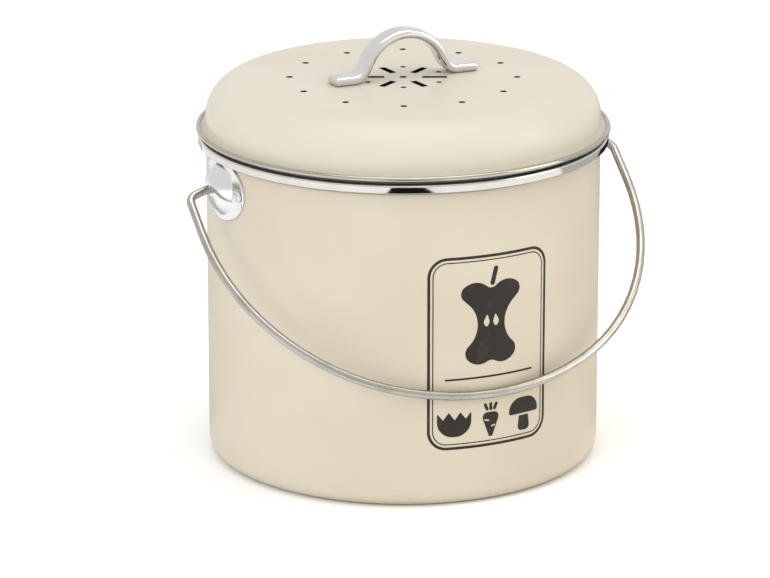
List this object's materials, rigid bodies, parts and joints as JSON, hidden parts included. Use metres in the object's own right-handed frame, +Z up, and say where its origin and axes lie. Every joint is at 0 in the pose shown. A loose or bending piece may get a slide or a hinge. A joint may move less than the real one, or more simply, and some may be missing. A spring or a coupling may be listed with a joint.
{
  "type": "kitchen compost bin",
  "caption": "Round painted steel kitchen compost bin with a vented domed lid, strap lid handle, swinging wire bail, lift-out bucket and a charcoal filter under the vents.",
  "frame": {"origin": "middle of the base, on the surface that the bin stands on", "axes": "+Z up, +X along the bail's pivot axis, -Y the front that the bail rests against"},
  "size_m": [0.22, 0.1904, 0.2],
  "materials": {
    "cream_paint": "smooth satin cream paint",
    "bright_steel": "bright polished plating",
    "wire_steel": "drawn bright wire",
    "plain_steel": "plain zinc-coloured steel",
    "bucket_plastic": "dark grey moulded plastic",
    "filter_plastic": "black moulded plastic",
    "silicone": "soft grey silicone",
    "charcoal_felt": "black carbon-loaded fleece"
  },
  "bodies": {
    "pail": {"pail_wall": "cream_paint", "rim_band": "bright_steel", "right_bail_ear": "bright_steel", "left_bail_ear": "bright_steel", "right_ear_rivets": "bright_steel", "left_ear_rivets": "bright_steel"},
    "bail": {"bail_wire": "wire_steel"},
    "bucket": {"inner_bucket": "bucket_plastic"},
    "lid": {"lid_dome": "cream_paint", "lid_edge_bead": "bright_steel", "lid_collar": "plain_steel", "lid_seal": "silicone", "lid_handle": "bright_steel", "handle_screws": "plain_steel", "handle_washers": "plain_steel", "filter_housing": "filter_plastic"},
    "filter_pad": {"charcoal_filter": "charcoal_felt"},
    "filter_cap": {"filter_cover": "filter_plastic"}
  },
  "joints": [
    {"name": "bail_swing", "type": "hinge", "parent": "pail", "child": "bail", "pos_m": [0, 0, 0.1352], "axis": [-1, 0, 0], "range_deg": [0, 263.4]},
    {"name": "bucket_lift", "type": "slide", "parent": "pail", "child": "bucket", "axis": [0, 0, 1], "range_m": [0, 0.18]},
    {"name": "lid_lift", "type": "slide", "parent": "bucket", "child": "lid", "axis": [0, 0, 1], "range_m": [0, 0.15]},
    {"name": "pad_drop", "type": "slide", "parent": "lid", "child": "filter_pad", "axis": [0, 0, -1], "range_m": [0, 0.03]},
    {"name": "cover_pull", "type": "slide", "parent": "filter_pad", "child": "filter_cap", "axis": [0, 0, -1], "range_m": [0, 0.02]}
  ]
}
